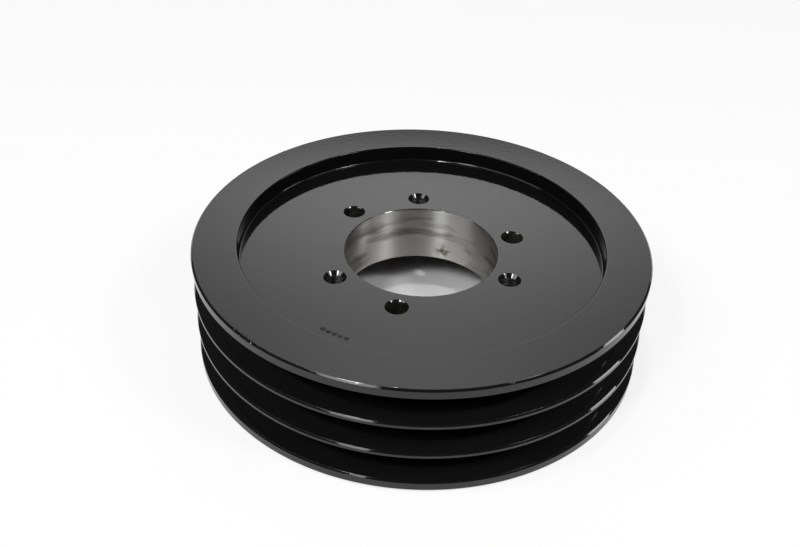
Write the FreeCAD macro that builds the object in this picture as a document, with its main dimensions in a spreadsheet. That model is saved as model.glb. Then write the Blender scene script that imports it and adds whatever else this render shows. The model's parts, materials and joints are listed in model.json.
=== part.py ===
"""Three-groove V-belt sheave for a split tapered bushing, one grey-iron casting.

The sheave lies on its lower rim face with its axis along +Z. The origin is the centre of that face.
The casting is divided into ring-shaped regions that meet face to face on cylinders around the axis:
hub, web, rim, and the walls of the grooves.
"""

import FreeCAD, Part
import Sketcher
import os

DRIVING_SIZES = [
    # rim and grooves
    ("outer_diameter", 228.6),
    ("groove_count", 3),
    ("groove_mouth", 15.24),
    ("groove_depth", 14.986),
    ("groove_angle", 38),
    ("land_width", 2.2225),
    ("end_land_width", 5.08),
    ("land_chamfer", 0.7),
    ("rim_thickness", 7.5),
    ("outer_chamfer", 0.9),
    ("inner_chamfer", 0.4),
    # web
    ("recess_depth", 8.5),
    ("recess_fillet", 0.8),
    ("web_thickness", 12.7),
    ("cast_fillet", 4.0),
    ("cast_draft", 2),
    ("stub_length", 1.5),
    # hub and its tapered bore
    ("hub_length", 31.75),
    ("bore_large_diameter", 79.375),
    ("bore_taper", 0.0625),
    ("bore_chamfer", 0.3),
    ("boss_chamfer", 1.0),
    # bolt holes
    ("hole_count", 3),
    ("drilled_diameter", 10.32),
    ("tapped_diameter", 7.94),
    ("drilled_chamfer", 0.6),
    ("tapped_chamfer", 1.7),
    ("bore_to_hole", 4.365),
    ("hole_to_edge", 4.63),
    ("drilled_angle", 16.7),
    ("tapped_angle", 45),
]

# Sizes that follow from the driving ones, as expressions on the sheet
MOUTH_PITCH = "(Sizes.groove_mouth + Sizes.land_width)"
FACE_WIDTH = f"(2 * Sizes.end_land_width - Sizes.land_width + Sizes.groove_count * {MOUTH_PITCH})"
OUTER_RADIUS = "(Sizes.outer_diameter / 2)"
FLOOR_RADIUS = f"({OUTER_RADIUS} - Sizes.groove_depth)"
RIM_RADIUS = f"({FLOOR_RADIUS} - Sizes.rim_thickness)"
FLANK_RUN = "(Sizes.groove_depth * tan(Sizes.groove_angle * 0.5 deg))"
CHAMFER_RISE = "(Sizes.land_chamfer * tan(Sizes.groove_angle * 0.5 deg))"
CHAMFER_DROP = f"(Sizes.land_chamfer - {CHAMFER_RISE})"
WEB_TOP = f"({FACE_WIDTH} - Sizes.recess_depth)"
WEB_BOTTOM = f"({WEB_TOP} - Sizes.web_thickness)"
HUB_BOTTOM = f"({WEB_TOP} - Sizes.hub_length)"
DRAFT_RISE = "tan(Sizes.cast_draft * 1 deg)"
BORE_BOTTOM_RADIUS = "(Sizes.bore_large_diameter / 2)"
BORE_TOP_RADIUS = f"({BORE_BOTTOM_RADIUS} - Sizes.bore_taper * Sizes.hub_length / 2)"
BORE_CHAMFER_SHIFT = "(Sizes.bore_taper * Sizes.bore_chamfer / 2)"
BOLT_RADIUS = f"({BORE_BOTTOM_RADIUS} + Sizes.bore_to_hole + Sizes.drilled_diameter / 2)"
BOSS_RADIUS = f"({BOLT_RADIUS} + Sizes.drilled_diameter / 2 + Sizes.hole_to_edge)"
WEB_INNER_RADIUS = f"({BOSS_RADIUS} + Sizes.cast_fillet + Sizes.stub_length)"
WEB_OUTER_RADIUS = f"({RIM_RADIUS} - Sizes.cast_fillet - Sizes.stub_length)"

SAME_PLACE = 0.01  # mm, between edges that are meant to be one
VOLUME_SHARE = 0.01  # of a volume, between what a hole should remove and what it does

document = FreeCAD.newDocument("VBeltSheave")
sizes = document.addObject("Spreadsheet::Sheet", "Sizes")
for row, (alias, size) in enumerate(DRIVING_SIZES, start=1):
    sizes.set(f"A{row}", alias)
    sizes.set(f"B{row}", str(size))
    sizes.setAlias(f"B{row}", alias)
document.recompute()


def value(expression):
    """The number that an expression on the sheet gives, in millimetres."""
    result = sizes.evalExpression(expression)
    return float(getattr(result, "Value", result))


def new_body(label):
    """An empty body that is named for its region of the casting."""
    body = document.addObject("PartDesign::Body", label)
    body.Label = label
    return body


def origin_feature(body, role):
    """One of the body's own origin planes or axes."""
    return next(feature for feature in body.Origin.OriginFeatures if feature.Role == role)


def new_sketch(body, name, role):
    """A sketch on one of the body's own origin planes."""
    sketch = body.newObject("Sketcher::SketchObject", name)
    sketch.AttachmentSupport = [(origin_feature(body, role), "")]
    sketch.MapMode = "FlatFace"
    return sketch


def hold(sketch, direction, line, expression):
    """Tie one coordinate of a line's start to an expression on the sheet."""
    size = value(expression)
    if abs(size) < SAME_PLACE and direction == "DistanceY":
        sketch.addConstraint(Sketcher.Constraint("PointOnObject", line, 1, -1))
        return
    number = sketch.addConstraint(Sketcher.Constraint(direction, -1, 1, line, 1, size))
    sketch.setExpression(f"Constraints[{number}]", expression)


def ring(body, corners):
    """Turn an outline of (radius, height) corners around the axis into a solid ring."""
    sketch = new_sketch(body, "Section", "XZ_Plane")
    points = [FreeCAD.Vector(value(radius), value(height), 0) for radius, height in corners]
    for start, end in zip(points, points[1:] + points[:1]):
        sketch.addGeometry(Part.LineSegment(start, end), False)
    for line in range(len(corners)):
        following = (line + 1) % len(corners)
        sketch.addConstraint(Sketcher.Constraint("Coincident", line, 2, following, 1))
    for line, (radius, height) in enumerate(corners):
        hold(sketch, "DistanceX", line, radius)
        hold(sketch, "DistanceY", line, height)
    turned = body.newObject("PartDesign::Revolution", "Turned")
    turned.Profile = sketch
    turned.ReferenceAxis = (sketch, ["V_Axis"])
    turned.Angle = 360
    document.recompute()
    return turned


def circle_edges(feature, radius, heights, off_axis=0):
    """Names of the circular edges of one radius at these heights, with centres this far off the axis."""
    names = []
    for number, edge in enumerate(feature.Shape.Edges, start=1):
        if not isinstance(edge.Curve, Part.Circle):
            continue
        centre = edge.Curve.Center
        distance = FreeCAD.Vector(centre.x, centre.y, 0).Length
        same_size = abs(edge.Curve.Radius - radius) < SAME_PLACE
        same_height = any(abs(centre.z - height) < SAME_PLACE for height in heights)
        if same_size and same_height and abs(distance - off_axis) < SAME_PLACE:
            names.append(f"Edge{number}")
    return names


def dress(body, kind, name, edges, size):
    """Round (Fillet) or bevel (Chamfer) edges of the body's newest feature."""
    base = body.Tip
    feature = body.newObject(f"PartDesign::{kind}", name)
    feature.Base = (base, edges)
    feature.setExpression("Radius" if kind == "Fillet" else "Size", size)
    document.recompute()
    return feature


def bolt_holes(body, name, diameter, angle):
    """Through holes of one kind, evenly spaced on the bolt circle.

    A sketch distance can't be negative, so the first hole is placed from a corner outside the bolt circle.
    """
    sketch = new_sketch(body, f"{name}Centre", "XY_Plane")
    sketch.setExpression("AttachmentOffset.Base.z", WEB_TOP)
    across = f"({BOLT_RADIUS} * (1 + cos({angle})))"
    along = f"({BOLT_RADIUS} * (1 + sin({angle})))"
    corner = FreeCAD.Vector(-value(BOLT_RADIUS), -value(BOLT_RADIUS), 0)
    centre = corner + FreeCAD.Vector(value(across), value(along), 0)
    sketch.addGeometry(Part.Point(corner), True)
    sketch.addGeometry(Part.Circle(centre, FreeCAD.Vector(0, 0, 1), value(diameter) / 2), False)
    dimensions = [
        (("DistanceX", 0, 1, -1, 1), BOLT_RADIUS),
        (("DistanceY", 0, 1, -1, 1), BOLT_RADIUS),
        (("DistanceX", 0, 1, 1, 3), across),
        (("DistanceY", 0, 1, 1, 3), along),
        (("Diameter", 1), diameter),
    ]
    for ends, expression in dimensions:
        number = sketch.addConstraint(Sketcher.Constraint(*ends, value(expression)))
        sketch.setExpression(f"Constraints[{number}]", expression)
    document.recompute()
    before = body.Shape.Volume
    hole = body.newObject("PartDesign::Hole", name)
    hole.Profile = sketch
    hole.DepthType = "ThroughAll"
    hole.setExpression("Diameter", diameter)
    document.recompute()
    pattern = body.newObject("PartDesign::PolarPattern", f"{name}Pattern")
    pattern.Originals = [hole]
    pattern.Axis = (origin_feature(body, "Z_Axis"), [""])
    pattern.Angle = 360
    pattern.setExpression("Occurrences", "Sizes.hole_count")
    body.Tip = pattern
    document.recompute()
    hole_volume = value(f"pi * {diameter} ^ 2 / 4 * Sizes.hub_length")
    wanted = hole_volume * value("Sizes.hole_count")
    removed = before - body.Shape.Volume
    if abs(removed - wanted) > VOLUME_SHARE * wanted:
        raise ValueError(f"{name} removed {removed:.1f} cubic mm instead of {wanted:.1f}")


def hub():
    """The middle of the web with the boss below it, bored to a taper that widens downwards."""
    body = new_body("hub")
    draft_run = f"({WEB_BOTTOM} - {HUB_BOTTOM}) * {DRAFT_RISE}"
    ring(body, [
        (f"({BORE_TOP_RADIUS} + Sizes.bore_chamfer)", WEB_TOP),
        (WEB_INNER_RADIUS, WEB_TOP),
        (WEB_INNER_RADIUS, WEB_BOTTOM),
        (BOSS_RADIUS, WEB_BOTTOM),
        (f"({BOSS_RADIUS} - {draft_run})", HUB_BOTTOM),
        (f"({BORE_BOTTOM_RADIUS} + Sizes.bore_chamfer)", HUB_BOTTOM),
        (f"({BORE_BOTTOM_RADIUS} - {BORE_CHAMFER_SHIFT})", f"({HUB_BOTTOM} + Sizes.bore_chamfer)"),
        (f"({BORE_TOP_RADIUS} + {BORE_CHAMFER_SHIFT})", f"({WEB_TOP} - Sizes.bore_chamfer)"),
    ])
    root = circle_edges(body.Tip, value(BOSS_RADIUS), [value(WEB_BOTTOM)])
    dress(body, "Fillet", "RootFillet", root, "Sizes.cast_fillet")
    foot = circle_edges(body.Tip, value(f"{BOSS_RADIUS} - {draft_run}"), [value(HUB_BOTTOM)])
    dress(body, "Chamfer", "BossChamfer", foot, "Sizes.boss_chamfer")
    drilled_angle = "Sizes.drilled_angle * 1 deg"
    tapped_angle = "(Sizes.drilled_angle - Sizes.tapped_angle) * 1 deg"
    bolt_holes(body, "DrilledHoles", "Sizes.drilled_diameter", drilled_angle)
    bolt_holes(body, "TappedHoles", "Sizes.tapped_diameter", tapped_angle)
    faces = [value(WEB_TOP), value(HUB_BOTTOM)]
    for kind in ("drilled", "tapped"):
        mouths = circle_edges(body.Tip, value(f"Sizes.{kind}_diameter") / 2, faces, value(BOLT_RADIUS))
        dress(body, "Chamfer", f"{kind.capitalize()}Chamfers", mouths, f"Sizes.{kind}_chamfer")
    return body


def web():
    """The flat plate between the hub and the rim."""
    body = new_body("web")
    ring(body, [
        (WEB_INNER_RADIUS, WEB_TOP),
        (WEB_OUTER_RADIUS, WEB_TOP),
        (WEB_OUTER_RADIUS, WEB_BOTTOM),
        (WEB_INNER_RADIUS, WEB_BOTTOM),
    ])
    return body


def rim():
    """The barrel under the grooves, with the root of the web, filleted above and below."""
    body = new_body("rim")
    foot_radius = f"({RIM_RADIUS} + {WEB_BOTTOM} * {DRAFT_RISE})"
    ring(body, [
        (FLOOR_RADIUS, "0"),
        (FLOOR_RADIUS, FACE_WIDTH),
        (RIM_RADIUS, FACE_WIDTH),
        (RIM_RADIUS, WEB_TOP),
        (WEB_OUTER_RADIUS, WEB_TOP),
        (WEB_OUTER_RADIUS, WEB_BOTTOM),
        (RIM_RADIUS, WEB_BOTTOM),
        (foot_radius, "0"),
    ])
    upper = circle_edges(body.Tip, value(RIM_RADIUS), [value(WEB_TOP)])
    dress(body, "Fillet", "RecessFillet", upper, "Sizes.recess_fillet")
    lower = circle_edges(body.Tip, value(RIM_RADIUS), [value(WEB_BOTTOM)])
    dress(body, "Fillet", "RootFillet", lower, "Sizes.cast_fillet")
    lips = circle_edges(body.Tip, value(RIM_RADIUS), [value(FACE_WIDTH)])
    lips += circle_edges(body.Tip, value(foot_radius), [0])
    dress(body, "Chamfer", "InnerChamfers", lips, "Sizes.inner_chamfer")
    return body


def flange(label, on_top):
    """An end wall of the grooves: flat outside, one groove flank inside. The top one is turned over."""
    body = new_body(label)
    ring(body, [
        (FLOOR_RADIUS, "0"),
        (f"({OUTER_RADIUS} - Sizes.outer_chamfer)", "0"),
        (OUTER_RADIUS, "Sizes.outer_chamfer"),
        (OUTER_RADIUS, f"(Sizes.end_land_width - {CHAMFER_DROP})"),
        (f"({OUTER_RADIUS} - Sizes.land_chamfer)", f"(Sizes.end_land_width + {CHAMFER_RISE})"),
        (FLOOR_RADIUS, f"(Sizes.end_land_width + {FLANK_RUN})"),
    ])
    if on_top:
        body.Placement.Rotation = FreeCAD.Rotation(FreeCAD.Vector(1, 0, 0), 180)
        body.setExpression("Placement.Base.z", FACE_WIDTH)
    return body


def rib(number):
    """The wall between two grooves, counted from the top, with a flank on each side of its chamfered land."""
    body = new_body(f"rib_{number}")
    ring(body, [
        (FLOOR_RADIUS, "0"),
        (f"({OUTER_RADIUS} - Sizes.land_chamfer)", f"({FLANK_RUN} - {CHAMFER_RISE})"),
        (OUTER_RADIUS, f"({FLANK_RUN} + {CHAMFER_DROP})"),
        (OUTER_RADIUS, f"({FLANK_RUN} + Sizes.land_width - {CHAMFER_DROP})"),
        (f"({OUTER_RADIUS} - Sizes.land_chamfer)", f"({FLANK_RUN} + Sizes.land_width + {CHAMFER_RISE})"),
        (FLOOR_RADIUS, f"(2 * {FLANK_RUN} + Sizes.land_width)"),
    ])
    land_bottom = f"({FACE_WIDTH} - Sizes.end_land_width - {number} * {MOUTH_PITCH})"
    body.setExpression("Placement.Base.z", f"{land_bottom} - {FLANK_RUN}")
    return body


bodies = [hub(), web(), rim(), flange("top_flange", True)]
for number in range(1, int(value("Sizes.groove_count"))):
    bodies.append(rib(number))
bodies.append(flange("bottom_flange", False))
document.recompute()

for item in document.Objects:
    if "Invalid" in item.State or "Error" in item.State:
        raise ValueError(f"{item.Name} failed: {item.State}")
for body in bodies:
    if body.Shape.isNull() or not body.Shape.isValid() or len(body.Shape.Solids) != 1:
        raise ValueError(f"{body.Label} is not one valid solid")

os.makedirs("parts", exist_ok=True)
for body in bodies:
    body.Shape.exportStep(f"parts/{body.Label}.step")
    box = body.Shape.BoundBox
    print(f"{body.Label}: {body.Shape.Volume / 1000:.2f} cubic cm, z {box.ZMin:.2f} to {box.ZMax:.2f}")
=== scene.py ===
"""A three-groove V-belt sheave: one iron casting, machined, painted gloss black, with a bare tapered bore.

The casting is drawn as seven ring-shaped regions that meet face to face: hub, web, rim, two flanges and two
ribs. Their sections are turned around the axis, so a region is given as chains of (radius, height, rounding)
corners in millimetres. Blender works in metres.
"""
import json
import math

import bmesh
import bpy
from mathutils import Matrix, Vector


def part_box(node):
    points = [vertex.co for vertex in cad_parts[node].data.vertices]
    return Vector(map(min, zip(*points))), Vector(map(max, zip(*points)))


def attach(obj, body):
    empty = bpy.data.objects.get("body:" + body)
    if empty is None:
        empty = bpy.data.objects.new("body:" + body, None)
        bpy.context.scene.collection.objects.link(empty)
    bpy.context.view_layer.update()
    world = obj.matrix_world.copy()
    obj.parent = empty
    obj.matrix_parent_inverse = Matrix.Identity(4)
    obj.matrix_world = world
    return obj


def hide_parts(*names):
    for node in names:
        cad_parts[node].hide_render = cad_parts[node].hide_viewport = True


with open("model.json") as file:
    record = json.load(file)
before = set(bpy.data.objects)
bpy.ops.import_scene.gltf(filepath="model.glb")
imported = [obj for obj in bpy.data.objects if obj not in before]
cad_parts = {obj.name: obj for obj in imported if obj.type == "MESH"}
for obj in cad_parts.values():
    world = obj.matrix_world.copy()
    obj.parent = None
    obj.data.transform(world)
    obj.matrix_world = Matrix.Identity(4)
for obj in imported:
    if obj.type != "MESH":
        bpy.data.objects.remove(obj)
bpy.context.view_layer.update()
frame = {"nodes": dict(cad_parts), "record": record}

MM = 0.001

# ---------------------------------------------------------------- sizes, in millimetres


def reach(node):
    """How far a region reaches from the axis."""
    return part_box(node)[1].x / MM


def foot(node):
    """The height of a region's lowest point."""
    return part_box(node)[0].z / MM


def top(node):
    """The height of a region's highest point."""
    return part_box(node)[1].z / MM


def mount(name):
    """One of the record's mounts, by its name."""
    return next(entry for entry in frame["record"]["mounts"] if entry["name"] == name)


OUTER_RADIUS = reach("top_flange")
FLOOR_RADIUS = reach("rim")
FACE_WIDTH = top("rim")
END_LAND = 5.08
LAND = 2.2225
FLANK_RUN = (top("rib_1") - foot("rib_1") - LAND) / 2
FLANK_SLOPE = FLANK_RUN / (OUTER_RADIUS - FLOOR_RADIUS)
LAND_CHAMFER = 0.7
OUTER_CHAMFER = 0.9
INNER_CHAMFER = 0.4
BARREL = 7.5  # the wall between the recess and the grooves' floors
RIM_RADIUS = FLOOR_RADIUS - BARREL
WEB_TOP = top("web")
WEB_BOTTOM = foot("web")
HUB_BOTTOM = foot("hub")
WEB_INNER = reach("hub")
WEB_OUTER = reach("web")
RECESS_FILLET = 0.8
CAST_FILLET = 4.0
DRAFT = math.tan(math.radians(2))
CUT_BACK = 3.0  # how far up a cast wall the facing cuts and their paint reach

BORE_CHAMFER = 0.3
RADIUS_TAPER = 1 / 32  # the bore narrows by 1 in 16 on its diameter
BORE_DIAMETER = 79.375  # at the bottom, its large end
BORE_BOTTOM = BORE_DIAMETER / 2
BORE_TOP = BORE_BOTTOM - mount("tapered_bore")["dims"]["length_mm"] * RADIUS_TAPER
TAPER_SHIFT = BORE_CHAMFER * RADIUS_TAPER
BOSS_MARGIN = 1.5  # flat web left outside the boss's fillet
BOSS_RADIUS = WEB_INNER - CAST_FILLET - BOSS_MARGIN
BOSS_CHAMFER = 1.0
BOSS_FOOT = BOSS_RADIUS - (WEB_BOTTOM - HUB_BOTTOM) * DRAFT
RIM_FOOT = RIM_RADIUS + WEB_BOTTOM * DRAFT

DRILLED_CHAMFER = 0.6
TAPPED_CHAMFER = 1.7
BOLT_RADIUS = mount("drilled_holes")["dims"]["pcd_mm"] / 2
DRILLED_RADIUS = mount("drilled_holes")["dims"]["hole_r_mm"]
TAPPED_RADIUS = mount("tapped_holes")["dims"]["hole_r_mm"]
DRILLED_ANGLE = math.radians(16.7)
TAPPED_ANGLE = DRILLED_ANGLE - math.radians(45)
HOLES = 3  # of each kind
HOLE_STEP = math.radians(120)

THREAD_PITCH = 25.4 / 16
THREAD_DEPTH = 0.78
THREAD_RUN_OUT = 0.5  # the thread fades over this height at both ends
FLANK_START, FLANK_END = 0.06, 0.375  # in pitches from a root's middle: a crest is a quarter of a pitch wide

DOTS = 5
DOT_RADIUS = 0.95
DOT_DEPTH = 0.5
DOT_TIP = 0.2  # radius of the punch's tip
DOT_POINT = 0.15  # the tip goes this much deeper
DOT_CIRCLE = 79.5
DOT_ANGLE = math.radians(-124)
DOT_STEP = math.radians(2.3)

SOFT_EDGE = 0.3  # how far the paint rounds a machined edge
EDGE_PAINT = 0.2  # the same on the narrow outer chamfers
LAND_PAINT = 0.12  # and on the chamfers beside the grooves
CRISP_EDGE = 0.12  # a bare machined edge, only deburred
SHOULDER = 0.45  # beside the recess the paint on the rim's face slopes down over this width
SHOULDER_DROP = 0.04  # and by this much
LIP = 0.45  # flat ring kept around a mouth, so that its plate stays flat up to it
HOLD = 0.12  # distance of the points that keep a flat flat beside a rounding
ARC_STEP = math.radians(10)  # an arc turns by at most this at each point
ARC_LEAST = 3  # and has at least this many steps
MERGE = 0.004  # points closer than this become one
NO_LENGTH = 0.0001  # shorter edges are taken out
CLOSED = 0.0005  # the radius of a ring that merges into a point
CREASE = math.radians(32)  # sharper edges than this aren't shaded smooth

NICK_RINGS = (1.4, 0.7)  # extra rings at these distances from the outer chamfer, for its nicks
NICK_FAR, NICK_NEAR = 1.15, 0.5  # nicks fade in between these distances from the chamfer's middle
NICK_LIMIT = 0.69  # the noise leaves a nick where it rises above this
WORST_LIMIT_DROP = 0.24  # and the limit is this much lower in the middle of the worst stretch
NICK_EASE = 0.09  # how far above the limit a nick has its full depth
NICK_TILT = 0.8  # a nick goes this far down for each 1 towards the axis

AROUND = 768  # steps around the axis
AROUND_HOLE = 64  # steps around a bolt hole
THREAD_ROWS = 9  # rows of points across one pitch

# ---------------------------------------------------------------- nodes

MATH = "ShaderNodeMath"
VECTOR_MATH = "ShaderNodeVectorMath"
NOISE = "ShaderNodeTexNoise"
MAP_RANGE = "ShaderNodeMapRange"  # its inputs in order: value, from least, from most, to least, to most
CIRCLE = "GeometryNodeCurvePrimitiveCircle"


def linear(hex_colour):
    """An sRGB hex colour as linear red, green, blue and alpha."""
    parts = [int(hex_colour[place:place + 2], 16) / 255 for place in (1, 3, 5)]
    return [c / 12.92 if c <= 0.04045 else ((c + 0.055) / 1.055) ** 2.4 for c in parts] + [1.0]


def add_node(tree, kind, inputs=(), **settings):
    """Adds a node with its settings, and gives its outputs.

    Its inputs, in order or keyed by name, take plain values or other nodes' outputs.
    """
    node = tree.nodes.new(kind)
    for name, setting in settings.items():
        setattr(node, name, setting)
    keyed = inputs if isinstance(inputs, dict) else dict(enumerate(inputs))
    for name, given in keyed.items():
        if isinstance(given, bpy.types.NodeSocket):
            tree.links.new(given, node.inputs[name])
        else:
            node.inputs[name].default_value = given
    return node.outputs


def new_tree(name, sizes):
    """A Geometry Nodes tree for geometry, these named sizes and a material. Gives it and its inputs."""
    tree = bpy.data.node_groups.new(name, "GeometryNodeTree")
    tree.interface.new_socket("Geometry", in_out="OUTPUT", socket_type="NodeSocketGeometry")
    tree.interface.new_socket("Geometry", in_out="INPUT", socket_type="NodeSocketGeometry")
    for label, kind in [*sizes, ("Material", "Material")]:
        tree.interface.new_socket(label, in_out="INPUT", socket_type=f"NodeSocket{kind}")
    return tree, add_node(tree, "NodeGroupInput")


def end_tree(tree, geometry, material):
    """Ends a tree in real geometry that carries its material."""
    real = add_node(tree, "GeometryNodeRealizeInstances", {"Geometry": geometry})[0]
    dressed = add_node(tree, "GeometryNodeSetMaterial", {"Geometry": real, "Material": material})[0]
    add_node(tree, "NodeGroupOutput", {"Geometry": dressed})


def turned_tree():
    """Turns a section around the axis. The section lies flat: X is the radius and Y the height."""
    tree, given = new_tree("turned section", [("Around", "Int"), ("Path Radius", "Float")])
    path = add_node(tree, CIRCLE, {"Resolution": given["Around"], "Radius": given["Path Radius"]})["Curve"]
    chain = add_node(tree, "GeometryNodeMeshToCurve", {"Mesh": given["Geometry"]})[0]
    inwards = add_node(tree, MATH, (given["Path Radius"], -1.0), operation="MULTIPLY")[0]
    shift = add_node(tree, "ShaderNodeCombineXYZ", {"X": inwards})[0]
    # the sweep lays a profile's Y down the axis, so the section is turned over first
    profile = add_node(tree, "GeometryNodeTransform",
                       {"Geometry": chain, "Translation": shift, "Scale": (1, -1, 1)})[0]
    ring = add_node(tree, "GeometryNodeCurveToMesh", {"Curve": path, "Profile Curve": profile})[0]
    end_tree(tree, ring, given["Material"])
    return tree


def spaced_tree():
    """Copies whatever it is given onto a circle, from a first angle on by equal steps."""
    tree, given = new_tree("spaced on a circle", [("Count", "Int"), ("Circle Radius", "Float"),
                                                  ("First Angle", "Float"), ("Step", "Float")])
    number = add_node(tree, "GeometryNodeInputIndex")[0]
    angle = add_node(tree, MATH, (number, given["Step"], given["First Angle"]), operation="MULTIPLY_ADD")[0]
    cosine = add_node(tree, MATH, (angle,), operation="COSINE")[0]
    sine = add_node(tree, MATH, (angle,), operation="SINE")[0]
    x = add_node(tree, MATH, (cosine, given["Circle Radius"]), operation="MULTIPLY")[0]
    y = add_node(tree, MATH, (sine, given["Circle Radius"]), operation="MULTIPLY")[0]
    place = add_node(tree, "ShaderNodeCombineXYZ", {"X": x, "Y": y})[0]
    points = add_node(tree, "GeometryNodePoints", {"Count": given["Count"], "Position": place})[0]
    copies = add_node(tree, "GeometryNodeInstanceOnPoints",
                      {"Points": points, "Instance": given["Geometry"]})[0]
    end_tree(tree, copies, given["Material"])
    return tree


def plate_tree(copier):
    """A flat ring at one height, with two sets of round openings that leave room for the mouths of holes."""
    sets = ("First Set", "Second Set")
    sizes = [("Outer Radius", "Float"), ("Inner Radius", "Float"), ("Height", "Float"),
             ("Around", "Int"), ("Around Hole", "Int"), ("Circle Radius", "Float"), ("Step", "Float")]
    for name in sets:
        sizes += [(f"{name} Count", "Int"), (f"{name} Radius", "Float"), (f"{name} Angle", "Float")]
    tree, given = new_tree("plate with openings", sizes)
    outlines = tree.nodes.new("GeometryNodeJoinGeometry")
    for radius in ("Outer Radius", "Inner Radius"):
        edge = add_node(tree, CIRCLE, {"Resolution": given["Around"], "Radius": given[radius]})["Curve"]
        tree.links.new(edge, outlines.inputs[0])
    for name in sets:
        mouth = add_node(tree, CIRCLE, {"Resolution": given["Around Hole"],
                                        "Radius": given[f"{name} Radius"]})["Curve"]
        mouths = add_node(tree, "GeometryNodeGroup", {
            "Geometry": mouth, "Count": given[f"{name} Count"], "Circle Radius": given["Circle Radius"],
            "First Angle": given[f"{name} Angle"], "Step": given["Step"]}, node_tree=copier)[0]
        tree.links.new(mouths, outlines.inputs[0])
    flat = add_node(tree, "GeometryNodeFillCurve", {"Curve": outlines.outputs[0]})[0]
    lift = add_node(tree, "ShaderNodeCombineXYZ", {"Z": given["Height"]})[0]
    raised = add_node(tree, "GeometryNodeTransform", {"Geometry": flat, "Translation": lift})[0]
    end_tree(tree, raised, given["Material"])
    return tree


def thread_tree():
    """A tapped wall: a strip one pitch wide that climbs the hole as a right-hand helix.

    The strip starts a turn below the wall and ends a turn above it, and is pressed flat at both ends.
    """
    tree, given = new_tree("tapped wall", [("Radius", "Float"), ("Depth", "Float"), ("Pitch", "Float"),
                                           ("Bottom", "Float"), ("Top", "Float"), ("Around Hole", "Int"),
                                           ("Rows", "Int")])
    tall = add_node(tree, MATH, (given["Top"], given["Bottom"]), operation="SUBTRACT")[0]
    pitches = add_node(tree, MATH, (tall, given["Pitch"]), operation="DIVIDE")[0]
    one_more = add_node(tree, MATH, (pitches, 1.0), operation="ADD")[0]
    turns = add_node(tree, MATH, (one_more,), operation="CEIL")[0]
    columns = add_node(tree, MATH, (turns, given["Around Hole"], 1.0), operation="MULTIPLY_ADD")[0]
    strip = add_node(tree, "GeometryNodeMeshGrid", {"Size X": turns, "Size Y": 1.0, "Vertices X": columns,
                                                    "Vertices Y": given["Rows"]})["Mesh"]
    # the strip's length counts turns, and its width runs from one crest to the next
    position = add_node(tree, "GeometryNodeInputPosition")[0]
    spot = add_node(tree, "ShaderNodeSeparateXYZ", (position,))
    half_turns = add_node(tree, MATH, (turns, 2.0), operation="DIVIDE")[0]
    turn = add_node(tree, MATH, (spot["X"], half_turns), operation="ADD")[0]
    across = add_node(tree, MATH, (spot["Y"], 0.5), operation="ADD")[0]
    helix = add_node(tree, MATH, (turn, across), operation="ADD")[0]
    climbed = add_node(tree, MATH, (helix, -1.0), operation="ADD")[0]
    free = add_node(tree, MATH, (climbed, given["Pitch"], given["Bottom"]), operation="MULTIPLY_ADD")[0]
    capped = add_node(tree, MATH, (free, given["Top"]), operation="MINIMUM")[0]
    height = add_node(tree, MATH, (capped, given["Bottom"]), operation="MAXIMUM")[0]
    # flanks about 60 degrees apart, between flat roots and crests
    off_root = add_node(tree, MATH, (across, 0.5), operation="SUBTRACT")[0]
    from_root = add_node(tree, MATH, (off_root,), operation="ABSOLUTE")[0]
    cut = add_node(tree, MAP_RANGE, (from_root, FLANK_END, FLANK_START))[0]
    below_top = add_node(tree, MATH, (given["Top"], height), operation="SUBTRACT")[0]
    above_bottom = add_node(tree, MATH, (height, given["Bottom"]), operation="SUBTRACT")[0]
    from_end = add_node(tree, MATH, (below_top, above_bottom), operation="MINIMUM")[0]
    run_out = add_node(tree, MAP_RANGE, (from_end, 0.0, THREAD_RUN_OUT * MM))[0]
    share = add_node(tree, MATH, (cut, run_out), operation="MULTIPLY")[0]
    deep = add_node(tree, MATH, (share, given["Depth"]), operation="MULTIPLY")[0]
    radius = add_node(tree, MATH, (given["Radius"], deep), operation="ADD")[0]
    angle = add_node(tree, MATH, (turn, math.tau), operation="MULTIPLY")[0]
    cosine = add_node(tree, MATH, (angle,), operation="COSINE")[0]
    sine = add_node(tree, MATH, (angle,), operation="SINE")[0]
    x = add_node(tree, MATH, (radius, cosine), operation="MULTIPLY")[0]
    y = add_node(tree, MATH, (radius, sine), operation="MULTIPLY")[0]
    place = add_node(tree, "ShaderNodeCombineXYZ", {"X": x, "Y": y, "Z": height})[0]
    wall = add_node(tree, "GeometryNodeSetPosition", {"Geometry": strip, "Position": place})[0]
    end_tree(tree, wall, given["Material"])
    return tree


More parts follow.
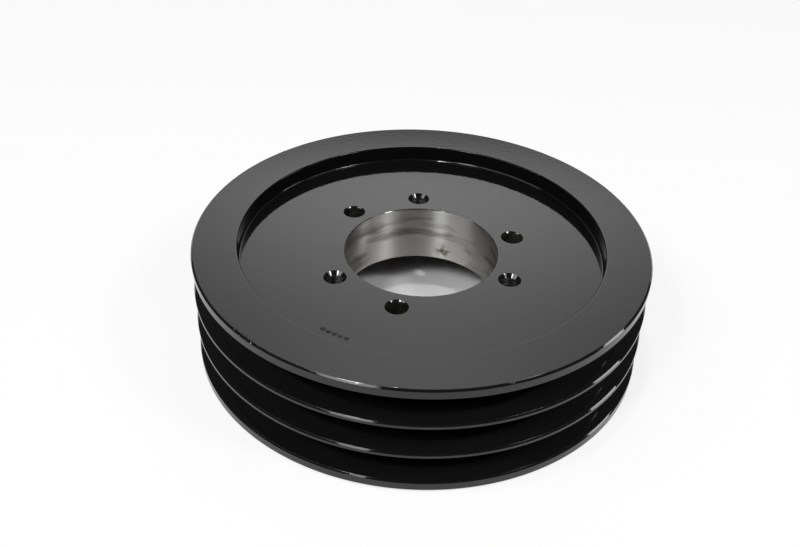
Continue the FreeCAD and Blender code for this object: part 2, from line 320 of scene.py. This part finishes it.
def nicked_tree():
    """Knocks small nicks into the outer edge, mostly along one stretch of it."""
    tree, given = new_tree("nicked edge", [("Edge Radius", "Float"), ("Edge Height", "Float"),
                                           ("Worst Angle", "Float"), ("Worst Spread", "Float"),
                                           ("Depth", "Float"), ("Nick Size", "Float"), ("Seed", "Float")])
    position = add_node(tree, "GeometryNodeInputPosition")[0]
    spot = add_node(tree, "ShaderNodeSeparateXYZ", (position,))
    flat = add_node(tree, "ShaderNodeCombineXYZ", {"X": spot["X"], "Y": spot["Y"]})[0]
    radius = add_node(tree, VECTOR_MATH, (flat,), operation="LENGTH")["Value"]
    beside = add_node(tree, MATH, (radius, given["Edge Radius"]), operation="SUBTRACT")[0]
    below = add_node(tree, MATH, (spot["Z"], given["Edge Height"]), operation="SUBTRACT")[0]
    beside_squared = add_node(tree, MATH, (beside, beside), operation="MULTIPLY")[0]
    below_squared = add_node(tree, MATH, (below, below), operation="MULTIPLY")[0]
    away_squared = add_node(tree, MATH, (beside_squared, below_squared), operation="ADD")[0]
    away = add_node(tree, MATH, (away_squared,), operation="SQRT")[0]
    at_edge = add_node(tree, MAP_RANGE, (away, NICK_FAR * MM, NICK_NEAR * MM),
                       interpolation_type="SMOOTHSTEP")[0]
    angle = add_node(tree, MATH, (spot["Y"], spot["X"]), operation="ARCTAN2")[0]
    off_worst = add_node(tree, MATH, (angle, given["Worst Angle"]), operation="SUBTRACT")[0]
    off = add_node(tree, MATH, (off_worst, given["Worst Spread"]), operation="DIVIDE")[0]
    off_squared = add_node(tree, MATH, (off, off), operation="MULTIPLY")[0]
    fall = add_node(tree, MATH, (off_squared, -1.0), operation="MULTIPLY")[0]
    worst = add_node(tree, MATH, (fall,), operation="EXPONENT")[0]
    scale = add_node(tree, MATH, (1.0, given["Nick Size"]), operation="DIVIDE")[0]
    # the noise's fourth place is its seed
    noise = add_node(tree, NOISE, {"W": given["Seed"], "Scale": scale, "Detail": 3.0, "Roughness": 0.65},
                     noise_dimensions="4D")[0]
    # away from the worst stretch only the highest peaks of the noise leave a nick
    limit = add_node(tree, MATH, (worst, -WORST_LIMIT_DROP, NICK_LIMIT), operation="MULTIPLY_ADD")[0]
    above = add_node(tree, MATH, (noise, limit), operation="SUBTRACT")[0]
    nick = add_node(tree, MAP_RANGE, (above, 0.0, NICK_EASE), interpolation_type="SMOOTHSTEP")[0]
    share = add_node(tree, MATH, (nick, at_edge), operation="MULTIPLY")[0]
    deep = add_node(tree, MATH, (share, given["Depth"]), operation="MULTIPLY")[0]
    inwards = add_node(tree, MATH, (deep, -1.0), operation="MULTIPLY")[0]
    outwards = add_node(tree, VECTOR_MATH, (flat,), operation="NORMALIZE")[0]
    slanted = add_node(tree, VECTOR_MATH, (outwards, (0, 0, NICK_TILT)), operation="ADD")[0]
    push = add_node(tree, VECTOR_MATH, {0: slanted, "Scale": inwards}, operation="SCALE")[0]
    knocked = add_node(tree, "GeometryNodeSetPosition", {"Geometry": given["Geometry"], "Offset": push})[0]
    end_tree(tree, knocked, given["Material"])
    return tree


TURNED = turned_tree()
SPACED = spaced_tree()
PLATE = plate_tree(SPACED)
THREAD = thread_tree()
NICKED = nicked_tree()

# ---------------------------------------------------------------- making pieces


def made(tree_settings, points=(), edges=()):
    """A plain mesh: these points and edges, taken through Geometry Nodes trees one after another."""
    start = bpy.data.meshes.new("start")
    start.from_pydata([Vector(point) * MM for point in points], edges, [])
    worked = bpy.data.objects.new("worked", start)
    bpy.context.scene.collection.objects.link(worked)
    for tree, settings in tree_settings:
        modifier = worked.modifiers.new(tree.name, "NODES")
        modifier.node_group = tree
        sockets = {item.name: item.identifier for item in tree.interface.items_tree if item.in_out == "INPUT"}
        for name, size in settings.items():
            modifier[sockets[name]] = size
    ready = worked.evaluated_get(bpy.context.evaluated_depsgraph_get())
    mesh = bpy.data.meshes.new_from_object(ready)
    worked.modifiers.clear()
    bpy.data.objects.remove(worked)
    return mesh


def rounded(corners):
    """The points of a chain of (radius, height, rounding) corners, with an arc at each rounded corner."""
    points = []
    for place, (radius, height, rounding) in enumerate(corners):
        corner = Vector((radius, height))
        if not rounding:
            points.append(corner)
            continue
        back = (Vector(corners[place - 1][:2]) - corner).normalized()
        ahead = (Vector(corners[place + 1][:2]) - corner).normalized()
        half = back.angle(ahead) / 2
        run = rounding / math.tan(half)
        centre = corner + (back + ahead).normalized() * (rounding / math.sin(half))
        first, last = corner + back * run - centre, corner + ahead * run - centre
        turn = first.angle_signed(last)
        steps = max(ARC_LEAST, math.ceil(abs(turn) / ARC_STEP))
        points.append(corner + back * (run + HOLD))
        for step in range(steps + 1):
            points.append(centre + Matrix.Rotation(-turn * step / steps, 2) @ first)
        points.append(corner + ahead * (run + HOLD))
    return points


def turned(chains, finish, around=AROUND, more=()):
    """Chains of corners turned around the axis, with any more trees after that. Gives (mesh, finish)."""
    points, edges = [], []
    for chain in chains:
        outline = rounded(chain)
        edges += [(len(points) + place, len(points) + place + 1) for place in range(len(outline) - 1)]
        points += [(*point, 0) for point in outline]
    path_radius = max(point[0] for point in points)
    sizes = {"Around": around, "Path Radius": path_radius * MM, "Material": finish}
    return made([(TURNED, sizes), *more], points, edges), finish


def spaced(count, circle_radius, first_angle, step):
    """The tree and its settings that repeat something on a circle."""
    return [(SPACED, {"Count": count, "Circle Radius": circle_radius * MM, "First Angle": first_angle,
                      "Step": step, "Material": None})]


def plate(outer, inner, height, circle_radius, step, first, second=(0, 1.0, 0.0)):
    """A flat enamelled ring with up to two sets of openings, each a (count, radius, first angle)."""
    sizes = {"Outer Radius": outer * MM, "Inner Radius": inner * MM, "Height": height * MM,
             "Around": AROUND, "Around Hole": AROUND_HOLE, "Circle Radius": circle_radius * MM,
             "Step": step, "Material": ENAMEL}
    for name, (count, radius, angle) in (("First Set", first), ("Second Set", second)):
        sizes |= {f"{name} Count": count, f"{name} Radius": radius * MM, f"{name} Angle": angle}
    return made([(PLATE, sizes)]), ENAMEL


def cast_piece(name, node, parts):
    """Joins (mesh, finish) parts into one closed piece that stands for a region of the casting."""
    finishes = list(dict.fromkeys(finish for mesh, finish in parts))
    joined = bmesh.new()
    for mesh, finish in parts:
        already = len(joined.faces)
        joined.from_mesh(mesh)
        joined.faces.ensure_lookup_table()
        for face in joined.faces[already:]:
            face.material_index = finishes.index(finish)
            face.smooth = True
        bpy.data.meshes.remove(mesh)
    bmesh.ops.remove_doubles(joined, verts=joined.verts, dist=MERGE * MM)
    bmesh.ops.dissolve_degenerate(joined, edges=joined.edges, dist=NO_LENGTH * MM)
    bmesh.ops.recalc_face_normals(joined, faces=joined.faces)
    if any(not edge.is_manifold for edge in joined.edges):
        raise ValueError(f"{name} is not closed")
    mesh = bpy.data.meshes.new(name)
    joined.to_mesh(mesh)
    joined.free()
    for finish in finishes:
        mesh.materials.append(finish)
    mesh.set_sharp_from_angle(angle=CREASE)
    piece = bpy.data.objects.new(name, mesh)
    bpy.context.scene.collection.objects.link(piece)
    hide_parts(node)
    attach(piece, "root")


# ---------------------------------------------------------------- finishes


def scale_for(size_mm):
    """The scale of a pattern whose features are this many millimetres across."""
    return 1 / (size_mm * MM)


def new_finish(name, colour, **values):
    """A material with plain values on its shader. Gives it, its tree, its shader and Object coordinates."""
    finish = bpy.data.materials.new(name)
    finish.use_nodes = True
    tree = finish.node_tree
    shader = tree.nodes["Principled BSDF"]
    shader.inputs["Base Color"].default_value = linear(colour)
    for label, number in values.items():
        shader.inputs[label.replace("_", " ")].default_value = number
    return finish, tree, shader, add_node(tree, "ShaderNodeTexCoord")["Object"]


def bumped(tree, shader, layers):
    """Lays (height, depth in mm) layers over each other as bumps."""
    normal = None
    for height, depth_mm in layers:
        inputs = {"Height": height, "Distance": depth_mm * MM, "Strength": 1.0}
        if normal:
            inputs["Normal"] = normal
        normal = add_node(tree, "ShaderNodeBump", inputs)[0]
    tree.links.new(normal, shader.inputs["Normal"])


def tooled_around(tree, shader):
    """Lays a metal's tool marks around the sheave's axis, so that its reflections stretch across them."""
    around = add_node(tree, "ShaderNodeTangent", direction_type="RADIAL", axis="Z")[0]
    tree.links.new(around, shader.inputs["Tangent"])


def enamel_over_machined_iron():
    """Black gloss enamel, sprayed over turned iron.

    It is a near mirror with faint orange peel, and smudges that dull it a little here and there.
    """
    finish, tree, shader, where = new_finish("gloss_enamel_over_machined_iron", "#0e0e0f", IOR=1.5)
    peel = add_node(tree, NOISE, {"Vector": where, "Scale": scale_for(1.5), "Detail": 1.5,
                                  "Roughness": 0.4})[0]
    ripple = add_node(tree, NOISE, {"Vector": where, "Scale": scale_for(11), "Detail": 1.0})[0]
    grain = add_node(tree, NOISE, {"Vector": where, "Scale": scale_for(0.7), "Detail": 1.0})[0]
    smudges = add_node(tree, NOISE, {"Vector": where, "Scale": scale_for(22), "Detail": 4.0,
                                     "Roughness": 0.6, "Distortion": 0.6})[0]
    gloss = add_node(tree, MAP_RANGE, (smudges, 0.35, 0.75, 0.035, 0.085))[0]
    tree.links.new(gloss, shader.inputs["Roughness"])
    bumped(tree, shader, [(ripple, 0.006), (peel, 0.018), (grain, 0.0004)])
    return finish


def enamel_over_cast_iron():
    """The same enamel where the casting was not machined: its sand-cast skin leaves it lumpy and duller."""
    finish, tree, shader, where = new_finish("gloss_enamel_over_cast_iron", "#0f0f10", IOR=1.5)
    lumps = add_node(tree, NOISE, {"Vector": where, "Scale": scale_for(4.5), "Detail": 3.0,
                                   "Roughness": 0.55})[0]
    sand = add_node(tree, NOISE, {"Vector": where, "Scale": scale_for(0.9), "Detail": 3.0,
                                  "Roughness": 0.6})[0]
    gloss = add_node(tree, MAP_RANGE, (lumps, 0.3, 0.7, 0.12, 0.28))[0]
    tree.links.new(gloss, shader.inputs["Roughness"])
    bumped(tree, shader, [(lumps, 0.35), (sand, 0.09)])
    return finish


def turned_bore_iron():
    """Bare grey iron, fine turned: bright, with tool marks around the bore, graphite smears and a stain."""
    finish, tree, shader, where = new_finish("bare_turned_iron", "#a3a09b", Metallic=1.0, Anisotropic=0.98,
                                             Anisotropic_Rotation=0.25)
    tooled_around(tree, shader)
    # smears run around the bore: noise squeezed along the height
    squeezed = add_node(tree, "ShaderNodeMapping", {"Vector": where, "Scale": (1, 1, 4)})[0]
    smears = add_node(tree, NOISE, {"Vector": squeezed, "Scale": scale_for(24), "Detail": 3.0,
                                    "Roughness": 0.5, "Distortion": 0.3})[0]
    smeared = add_node(tree, MAP_RANGE, (smears, 0.32, 0.5))[0]
    clean = add_node(tree, "ShaderNodeMix", {"Factor": smeared, "A": linear("#8b8985"),
                                             "B": linear("#c2c0bc")}, data_type="RGBA")["Result"]
    # a rust-brown stain, low on the right of the back wall
    stain_place, stain_edge, stain_middle = Vector((12.5, 37, 26)) * MM, 6 * MM, 1.5 * MM
    off = add_node(tree, VECTOR_MATH, (where, stain_place), operation="DISTANCE")["Value"]
    near = add_node(tree, MAP_RANGE, (off, stain_edge, stain_middle), interpolation_type="SMOOTHSTEP")[0]
    ragged = add_node(tree, NOISE, {"Vector": where, "Scale": scale_for(3), "Detail": 4.0})[0]
    rust = add_node(tree, MAP_RANGE, (ragged, 0.4, 0.6))[0]
    blotch = add_node(tree, MATH, (near, rust), operation="MULTIPLY")[0]
    stained = add_node(tree, "ShaderNodeMix", {"Factor": blotch, "A": clean, "B": linear("#54483c")},
                       data_type="RGBA")["Result"]
    tree.links.new(stained, shader.inputs["Base Color"])
    patches = add_node(tree, NOISE, {"Vector": where, "Scale": scale_for(19), "Detail": 3.0,
                                     "Roughness": 0.55, "Distortion": 0.8})[0]
    gloss = add_node(tree, MAP_RANGE, (patches, 0.3, 0.7, 0.45, 0.36))[0]
    tree.links.new(gloss, shader.inputs["Roughness"])
    # tool marks, drawn just coarse enough to show
    height = add_node(tree, "ShaderNodeSeparateXYZ", (where,))["Z"]
    up_the_wall = add_node(tree, MATH, (height, scale_for(0.32)), operation="MULTIPLY")[0]
    lines = add_node(tree, NOISE, {"W": up_the_wall, "Detail": 3.0, "Roughness": 0.7},
                     noise_dimensions="1D")[0]
    bumped(tree, shader, [(lines, 0.006), (patches, 0.02)])
    return finish


def oversprayed_iron():
    """Drilled iron under a thin overspray of enamel: dark, with the drill's marks around the wall."""
    finish, tree, shader, where = new_finish("oversprayed_drilled_iron", "#2a2925", Metallic=0.35, IOR=1.5,
                                             Anisotropic=0.85, Anisotropic_Rotation=0.25)
    tooled_around(tree, shader)
    scratches = add_node(tree, "ShaderNodeMapping", {"Vector": where, "Scale": (1, 1, 5)})[0]
    cuts = add_node(tree, NOISE, {"Vector": scratches, "Scale": scale_for(1.4), "Detail": 4.0,
                                  "Roughness": 0.65})[0]
    oil = add_node(tree, NOISE, {"Vector": where, "Scale": scale_for(5), "Detail": 2.0})[0]
    oily = add_node(tree, MAP_RANGE, (oil, 0.35, 0.65))[0]
    tint = add_node(tree, "ShaderNodeMix", {"Factor": oily, "A": linear("#1f1e1b"), "B": linear("#3a3934")},
                    data_type="RGBA")["Result"]
    tree.links.new(tint, shader.inputs["Base Color"])
    gloss = add_node(tree, MAP_RANGE, (oil, 0.3, 0.7, 0.24, 0.36))[0]
    tree.links.new(gloss, shader.inputs["Roughness"])
    bumped(tree, shader, [(cuts, 0.03)])
    return finish


ENAMEL = enamel_over_machined_iron()
CAST_ENAMEL = enamel_over_cast_iron()
BORE_IRON = turned_bore_iron()
HOLE_FINISH = oversprayed_iron()  # in the bolt holes and the punched dots

# ---------------------------------------------------------------- regions of the casting


def hole_mouths(radius, chamfer):
    """The painted chamfers at the top and the bottom of a bolt hole."""
    mouth = radius + chamfer
    return [[(mouth + LIP, face, 0), (mouth, face, SOFT_EDGE / 2), (radius, face + inwards * chamfer, 0)]
            for face, inwards in ((WEB_TOP, -1), (HUB_BOTTOM, 1))]


def drilled_holes():
    """Three plain holes: chamfered mouths and straight oversprayed walls."""
    wall = [(DRILLED_RADIUS, WEB_TOP - DRILLED_CHAMFER, 0), (DRILLED_RADIUS, HUB_BOTTOM + DRILLED_CHAMFER, 0)]
    on_circle = spaced(HOLES, BOLT_RADIUS, DRILLED_ANGLE, HOLE_STEP)
    mouths = turned(hole_mouths(DRILLED_RADIUS, DRILLED_CHAMFER), ENAMEL, AROUND_HOLE, on_circle)
    return [mouths, turned([wall], HOLE_FINISH, AROUND_HOLE, on_circle)]


def tapped_holes():
    """Three threaded holes: chamfered mouths and a helical wall between them."""
    thread = {"Radius": TAPPED_RADIUS * MM, "Depth": THREAD_DEPTH * MM, "Pitch": THREAD_PITCH * MM,
              "Bottom": (HUB_BOTTOM + TAPPED_CHAMFER) * MM, "Top": (WEB_TOP - TAPPED_CHAMFER) * MM,
              "Around Hole": AROUND_HOLE, "Rows": THREAD_ROWS, "Material": HOLE_FINISH}
    on_circle = spaced(HOLES, BOLT_RADIUS, TAPPED_ANGLE, HOLE_STEP)
    mouths = turned(hole_mouths(TAPPED_RADIUS, TAPPED_CHAMFER), ENAMEL, AROUND_HOLE, on_circle)
    return [mouths, (made([(THREAD, thread), *on_circle]), HOLE_FINISH)]


def hub():
    """The middle of the web and the boss below it, with the tapered bore and the six bolt holes."""
    upper, lower = BORE_TOP + BORE_CHAMFER, BORE_BOTTOM + BORE_CHAMFER
    bore_start = (BORE_TOP + TAPER_SHIFT, WEB_TOP - BORE_CHAMFER, 0)
    bore_end = (BORE_BOTTOM - TAPER_SHIFT, HUB_BOTTOM + BORE_CHAMFER, 0)
    lips = [[(upper + LIP, WEB_TOP, 0), (upper, WEB_TOP, CRISP_EDGE), bore_start],
            [bore_end, (lower, HUB_BOTTOM, CRISP_EDGE), (lower + LIP, HUB_BOTTOM, 0)]]
    end_of_cut = (BOSS_FOOT + CUT_BACK * DRAFT, HUB_BOTTOM + CUT_BACK, 0)
    flat_edge = BOSS_FOOT - BOSS_CHAMFER - LIP
    side = [(WEB_INNER, WEB_BOTTOM, 0), (BOSS_RADIUS, WEB_BOTTOM, CAST_FILLET), end_of_cut]
    edge = [end_of_cut, (BOSS_FOOT + BOSS_CHAMFER * DRAFT, HUB_BOTTOM + BOSS_CHAMFER, SOFT_EDGE),
            (BOSS_FOOT - BOSS_CHAMFER, HUB_BOTTOM, SOFT_EDGE / 2), (flat_edge, HUB_BOTTOM, 0)]
    seam = [(WEB_INNER, WEB_TOP, 0), (WEB_INNER, WEB_BOTTOM, 0)]
    drilled = (HOLES, DRILLED_RADIUS + DRILLED_CHAMFER + LIP, DRILLED_ANGLE)
    tapped = (HOLES, TAPPED_RADIUS + TAPPED_CHAMFER + LIP, TAPPED_ANGLE)
    cast_piece("painted_hub", "hub", [
        plate(WEB_INNER, upper + LIP, WEB_TOP, BOLT_RADIUS, HOLE_STEP, drilled, tapped),
        plate(flat_edge, lower + LIP, HUB_BOTTOM, BOLT_RADIUS, HOLE_STEP, drilled, tapped),
        turned([[bore_start, bore_end]], BORE_IRON), turned([side], CAST_ENAMEL),
        turned([*lips, edge, seam], ENAMEL), *drilled_holes(), *tapped_holes()])


def web():
    """The flat plate around the hub, with a few punched dots where a size mark would be stamped."""
    dimple = [(DOT_RADIUS + LIP, WEB_TOP, 0), (DOT_RADIUS, WEB_TOP, CRISP_EDGE),
              (DOT_TIP, WEB_TOP - DOT_DEPTH, 0), (CLOSED, WEB_TOP - DOT_DEPTH - DOT_POINT, 0)]
    dimples = turned([dimple], HOLE_FINISH, AROUND_HOLE, spaced(DOTS, DOT_CIRCLE, DOT_ANGLE, DOT_STEP))
    face = plate(WEB_OUTER, WEB_INNER, WEB_TOP, DOT_CIRCLE, DOT_STEP, (DOTS, DOT_RADIUS + LIP, DOT_ANGLE))
    seams = [[(radius, WEB_TOP, 0), (radius, WEB_BOTTOM, 0)] for radius in (WEB_INNER, WEB_OUTER)]
    underside = [(WEB_INNER, WEB_BOTTOM, 0), (WEB_OUTER, WEB_BOTTOM, 0)]
    cast_piece("painted_web", "web", [
        face, dimples, turned(seams, ENAMEL), turned([underside], CAST_ENAMEL)])


def rim():
    """The barrel inside the grooves: faces, lips and recess are machined, and its lower inside is as cast."""
    end_of_cut = (RIM_FOOT - CUT_BACK * DRAFT, CUT_BACK, 0)
    lip_radius = RIM_RADIUS + INNER_CHAMFER
    machined = [(WEB_OUTER, WEB_TOP, 0), (RIM_RADIUS, WEB_TOP, RECESS_FILLET),
                (RIM_RADIUS, FACE_WIDTH - INNER_CHAMFER, SOFT_EDGE),
                (lip_radius, FACE_WIDTH - SHOULDER_DROP, SOFT_EDGE / 2),
                (lip_radius + SHOULDER, FACE_WIDTH, 0), (lip_radius + SHOULDER + HOLD, FACE_WIDTH, 0),
                (FLOOR_RADIUS, FACE_WIDTH, 0), (FLOOR_RADIUS, 0, 0),
                (RIM_FOOT + INNER_CHAMFER, 0, SOFT_EDGE),
                (RIM_FOOT - INNER_CHAMFER * DRAFT, INNER_CHAMFER, SOFT_EDGE), end_of_cut]
    cast = [end_of_cut, (RIM_RADIUS, WEB_BOTTOM, CAST_FILLET), (WEB_OUTER, WEB_BOTTOM, 0)]
    seam = [(WEB_OUTER, WEB_BOTTOM, 0), (WEB_OUTER, WEB_TOP, 0)]
    cast_piece("painted_rim", "rim", [turned([machined, seam], ENAMEL), turned([cast], CAST_ENAMEL)])


def land_chamfer(height, into_groove):
    """The two corners of a land's chamfer, where land and flank would meet at this height."""
    rise = LAND_CHAMFER * FLANK_SLOPE * into_groove
    drop = LAND_CHAMFER * (1 - FLANK_SLOPE) * into_groove
    return [(OUTER_RADIUS, height - drop, LAND_PAINT),
            (OUTER_RADIUS - LAND_CHAMFER, height + rise, LAND_PAINT)]


def flange_section(face, inwards):
    """The section of an end wall of the grooves. Heights run from its flat face inwards, up or down."""
    corners = [(FLOOR_RADIUS, 0, 0)]
    corners += [(OUTER_RADIUS - OUTER_CHAMFER - away, 0, 0) for away in NICK_RINGS]
    corners += [(OUTER_RADIUS - OUTER_CHAMFER, 0, EDGE_PAINT), (OUTER_RADIUS, OUTER_CHAMFER, EDGE_PAINT)]
    corners += [(OUTER_RADIUS, OUTER_CHAMFER + away, 0) for away in reversed(NICK_RINGS)]
    corners += [*land_chamfer(END_LAND, 1), (FLOOR_RADIUS, END_LAND + FLANK_RUN, 0), (FLOOR_RADIUS, 0, 0)]
    return [(radius, face + inwards * height, rounding) for radius, height, rounding in corners]


def top_flange():
    """The upper end wall, whose outer edge has been knocked in places."""
    middle = OUTER_CHAMFER / 2
    nicks = {"Edge Radius": (OUTER_RADIUS - middle) * MM, "Edge Height": (FACE_WIDTH - middle) * MM,
             "Worst Angle": math.radians(-133), "Worst Spread": math.radians(7), "Depth": 0.07 * MM,
             "Nick Size": 1.0 * MM, "Seed": 4.0, "Material": ENAMEL}
    section = flange_section(FACE_WIDTH, -1)
    cast_piece("painted_top_flange", "top_flange", [turned([section], ENAMEL, 2 * AROUND, [(NICKED, nicks)])])


def bottom_flange():
    """The lower end wall, which the sheave lies on."""
    cast_piece("painted_bottom_flange", "bottom_flange", [turned([flange_section(0, 1)], ENAMEL)])


def rib(node):
    """The wall between two grooves, with a narrow land and a flank on each side."""
    low, high = foot(node), top(node)
    lower, upper = land_chamfer(low + FLANK_RUN, -1), land_chamfer(high - FLANK_RUN, 1)
    section = [(FLOOR_RADIUS, low, 0), *reversed(lower), *upper, (FLOOR_RADIUS, high, 0),
               (FLOOR_RADIUS, low, 0)]
    cast_piece(f"painted_{node}", node, [turned([section], ENAMEL)])


hub()
web()
rim()
top_flange()
for rib_node in sorted(name for name in frame["nodes"] if name.startswith("rib_")):
    rib(rib_node)
bottom_flange()

# ---------------------------------------------------------------- studio, in metres and degrees

ROOM_LIGHT = 0.07  # the dim light from all round
WALL_AZIMUTH, WALL_SPREAD = 1, 21  # the bright wall's middle, and how far it fades to each side
WALL_FOOT = (25.5, 31.5)  # elevations over which the wall's light starts
WALL_FADE = (32, 40)  # over which it falls from the first of the next strengths to the second
WALL_STRENGTHS = (1.9, 1.42)
WALL_END = (48, 70)  # and over which it ends
FLOOR_SIZE = 12.0
FLOOR_GLOW = 0.8
PAPER_FADE = 3.0  # millimetres inside the sheave's outline over which plain paper turns to lit table
CAMERA_PLACE = (-0.0103, -0.4193, 0.3406)
CAMERA_TILT, CAMERA_ROLL = 54.05, 1.912  # from straight down, and around its own line of sight
CAMERA_LENS = 45.15  # millimetres, on a sensor 36 wide


def panel(name, azimuth, elevation, distance, width, height, radiance):
    """A soft light panel. Azimuth 0 is the camera's side, 90 is +X, and radiance is what a mirror sees."""
    side, rise = math.radians(azimuth), math.radians(elevation)
    lamp = bpy.data.lights.new(name, "AREA")
    lamp.shape = "RECTANGLE"
    lamp.size = width
    lamp.size_y = height
    lamp.energy = radiance * math.pi * width * height
    stand = bpy.data.objects.new(name, lamp)
    way = Vector((math.sin(side) * math.cos(rise), -math.cos(side) * math.cos(rise), math.sin(rise)))
    stand.location = way * distance
    to_sheave = Vector((0, 0, FACE_WIDTH * MM)) - stand.location
    stand.rotation_euler = to_sheave.to_track_quat("-Z", "Y").to_euler()
    bpy.context.scene.collection.objects.link(stand)


def studio_world():
    """A dim room with a bright wall behind the sheave, fading to both sides and upwards."""
    world = bpy.data.worlds.new("dim_room")
    world.use_nodes = True
    tree = world.node_tree
    way = add_node(tree, "ShaderNodeTexCoord")["Generated"]
    spot = add_node(tree, "ShaderNodeSeparateXYZ", (way,))
    azimuth = add_node(tree, MATH, (spot["X"], spot["Y"]), operation="ARCTAN2")[0]
    elevation = add_node(tree, MATH, (spot["Z"],), operation="ARCSINE")[0]
    off_middle = add_node(tree, MATH, (azimuth, math.radians(WALL_AZIMUTH)), operation="SUBTRACT")[0]
    aside = add_node(tree, MATH, (off_middle, math.radians(WALL_SPREAD)), operation="DIVIDE")[0]
    squared = add_node(tree, MATH, (aside, aside), operation="MULTIPLY")[0]
    fall = add_node(tree, MATH, (squared, -1.0), operation="MULTIPLY")[0]
    glow = add_node(tree, MATH, (fall,), operation="EXPONENT")[0]
    for (low, high), strengths in ((WALL_FOOT, (0, 1)), (WALL_FADE, WALL_STRENGTHS), (WALL_END, (1, 0))):
        step = add_node(tree, MAP_RANGE, (elevation, math.radians(low), math.radians(high), *strengths),
                        interpolation_type="SMOOTHSTEP")[0]
        glow = add_node(tree, MATH, (glow, step), operation="MULTIPLY")[0]
    strength = add_node(tree, MATH, (glow, ROOM_LIGHT), operation="ADD")[0]
    background = tree.nodes["Background"]
    background.inputs["Color"].default_value = (1, 1, 1, 1)
    tree.links.new(strength, background.inputs["Strength"])
    bpy.context.scene.world = world


def floor():
    """A large white light table under the sheave, with plain white paper inside the sheave's footprint."""
    mesh = bpy.data.meshes.new("white_floor")
    half = FLOOR_SIZE / 2
    corners = [(-half, -half, 0), (half, -half, 0), (half, half, 0), (-half, half, 0)]
    mesh.from_pydata(corners, [], [(0, 1, 2, 3)])
    finish, tree, shader, where = new_finish("white_light_table", "#e7e7e7", Roughness=0.9)
    away = add_node(tree, VECTOR_MATH, (where,), operation="LENGTH")["Value"]
    lit = add_node(tree, MAP_RANGE, (away, (OUTER_RADIUS - PAPER_FADE) * MM, OUTER_RADIUS * MM))[0]
    paper = add_node(tree, "ShaderNodeMix", {"Factor": lit, "A": linear("#e7e7e7"), "B": linear("#707070")},
                     data_type="RGBA")["Result"]
    glow = add_node(tree, MATH, (lit, FLOOR_GLOW), operation="MULTIPLY")[0]
    tree.links.new(paper, shader.inputs["Base Color"])
    tree.links.new(glow, shader.inputs["Emission Strength"])
    shader.inputs["Emission Color"].default_value = linear("#ffffff")
    mesh.materials.append(finish)
    sheet = bpy.data.objects.new("white_floor", mesh)
    bpy.context.scene.collection.objects.link(sheet)


def camera():
    """The camera stands in front and looks down at the sheave."""
    lens = bpy.data.cameras.new("camera")
    lens.sensor_width = 36
    lens.lens = CAMERA_LENS
    lens.clip_start = 0.01
    body = bpy.data.objects.new("camera", lens)
    tilt = Matrix.Rotation(math.radians(CAMERA_TILT), 4, "X")
    roll = Matrix.Rotation(math.radians(CAMERA_ROLL), 4, "Z")
    body.matrix_world = Matrix.Translation(CAMERA_PLACE) @ tilt @ roll
    bpy.context.scene.collection.objects.link(body)
    bpy.context.scene.camera = body


studio_world()
floor()
camera()
# azimuth, elevation, distance, width, height, radiance
panel("overhead_lamp", -60, 85, 1.6, 0.07, 0.07, 310)
panel("left_softbox", -56, 48, 1.6, 1.5, 0.42, 5)
panel("left_lamp_head", -34, 50, 1.5, 0.22, 0.3, 30)
panel("right_softbox", 68, 48, 1.6, 1.0, 0.3, 3)
panel("right_lamp_head", 62, 50, 1.5, 0.2, 0.3, 30)
panel("right_low_softbox", 92, 19, 1.6, 0.4, 0.28, 7)
bpy.context.scene.view_settings.view_transform = "Standard"
